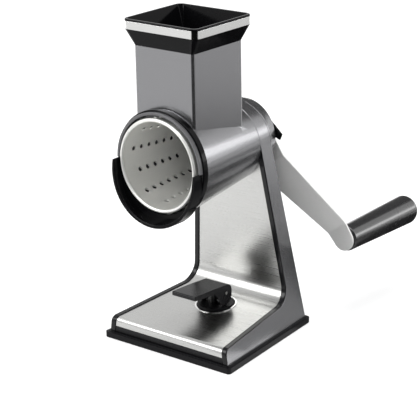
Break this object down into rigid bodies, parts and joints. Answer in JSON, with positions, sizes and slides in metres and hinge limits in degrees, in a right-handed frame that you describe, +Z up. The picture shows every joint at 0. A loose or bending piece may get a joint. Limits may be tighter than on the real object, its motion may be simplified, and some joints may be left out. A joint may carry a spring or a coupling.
{
  "type": "rotary cabbage shredder",
  "caption": "Hand cranked rotary shredder: square hopper over a conical drum in a barrel, on a steel-faced stand with a suction foot, driven by a rear crank with a turning grip.",
  "frame": {"origin": "middle of the foot's underside, on the table", "axes": "+Z up; the drum's mouth faces -Y and the crank is at +Y; +X is to the right for somebody who looks into the mouth"},
  "size_m": [0.1615, 0.2945, 0.3],
  "materials": {
    "housing": "satin anthracite, as lacquered",
    "gloss_black": "gloss black moulding",
    "dark_plastic": "matt black moulding",
    "brushed": "brushed stainless sheet",
    "bright": "bright stainless",
    "ring_grey": "satin dark grey",
    "rubber": "soft matt rubber",
    "bush": "plain bearing plastic",
    "drum_plastic": "black moulding"
  },
  "bodies": {
    "stand": {"foot_skirt": "rubber", "base_plate": "dark_plastic", "base_screws": "bright", "left_cheek": "housing", "right_cheek": "housing", "head_arch": "housing", "front_plate": "brushed", "nose_band": "dark_plastic", "rear_cover": "housing", "tower_ring": "bright", "lever_tower": "gloss_black", "barrel_housing": "housing", "mouth_collar": "gloss_black", "front_ring": "ring_grey", "spout_lip": "gloss_black", "hopper_funnel": "gloss_black", "hopper_band": "bright", "bearing_block": "dark_plastic", "bearing_bush": "bush", "housing_screws": "bright", "rear_cap": "housing"},
    "lock_ring": {"lock_ring": "gloss_black"},
    "crank": {"drum": "bright", "drum_hub": "drum_plastic", "drive_shaft": "bright", "crank_hub": "gloss_black", "crank_arm": "brushed", "hub_screw": "bright", "grip_axle": "bright", "grip_washer": "bright"},
    "grip": {"grip": "gloss_black"},
    "stem": {"suction_stem": "bright", "stem_washer": "bright", "suction_spring": "bright", "lever_pin": "bright", "suction_cup": "rubber"},
    "lever": {"suction_lever": "gloss_black"}
  },
  "joints": [
    {"name": "crank_turn", "type": "hinge", "parent": "stand", "child": "crank", "pos_m": [0, 0, 0.1775], "axis": [0, -1, 0], "continuous": true},
    {"name": "grip_turn", "type": "hinge", "parent": "crank", "child": "grip", "pos_m": [0.07525, 0.15, 0.07581], "axis": [0, 1, 0], "continuous": true},
    {"name": "lock_turn", "type": "hinge", "parent": "stand", "child": "lock_ring", "pos_m": [0, 0, 0.1775], "axis": [0, -1, 0], "range_deg": [0, 25]},
    {"name": "stem_slide", "type": "slide", "parent": "stand", "child": "stem", "axis": [0, 0, 1], "range_m": [-0.004, 0], "deforming": ["suction_cup", "suction_spring"]},
    {"name": "lever_flip", "type": "hinge", "parent": "stem", "child": "lever", "pos_m": [0, 0.004, 0.039], "axis": [-1, 0, 0], "range_deg": [0, 90.5]}
  ],
  "couplings": [
    {"joint": "lever_flip", "follows": "stem_slide", "rad_per_m": -392.69}
  ]
}
